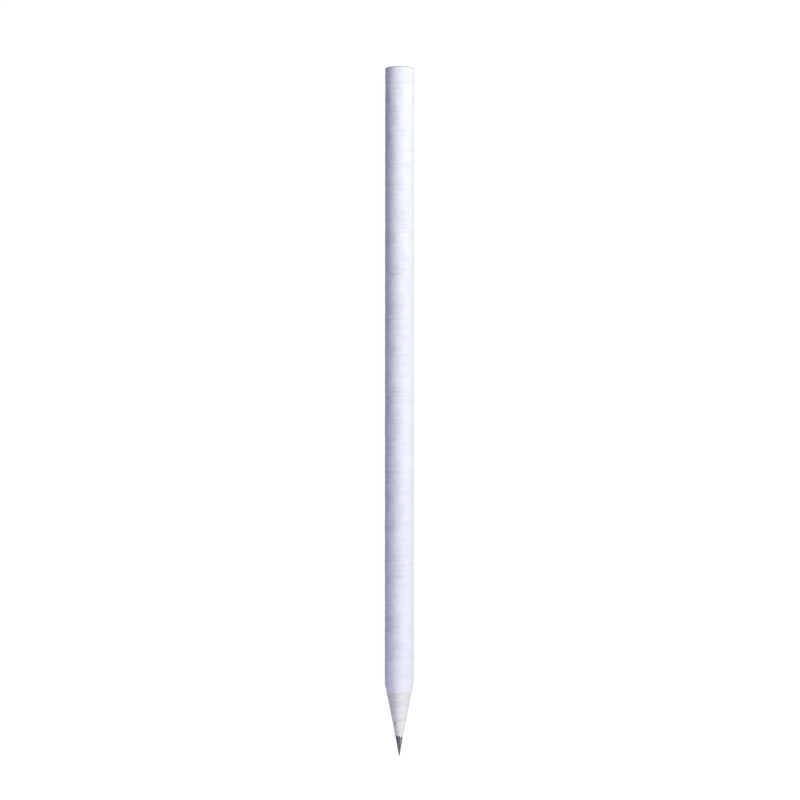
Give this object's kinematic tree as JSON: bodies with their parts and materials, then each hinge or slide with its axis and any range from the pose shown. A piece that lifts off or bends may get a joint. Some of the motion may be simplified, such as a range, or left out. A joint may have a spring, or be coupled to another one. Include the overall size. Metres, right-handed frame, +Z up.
{
  "type": "pencil",
  "caption": "Round pencil: a graphite lead in a barrel of rolled newsprint with a plain white paper wrap, sharpened to a point at one end and cut flat at the other.",
  "frame": {"origin": "on the surface that the pencil lies on, below the middle of its length and width", "axes": "+Y along the pencil from the writing point to the flat end, +Z up from the surface, +X to the right of someone who looks down with +Y ahead"},
  "size_m": [0.0072, 0.175, 0.0072],
  "materials": {
    "graphite": "satin",
    "newsprint": "matte",
    "white_paper": "matte"
  },
  "bodies": {
    "root": {"graphite_lead": "graphite", "rolled_paper_barrel": "newsprint", "white_wrap": "white_paper"}
  },
  "joints": []
}
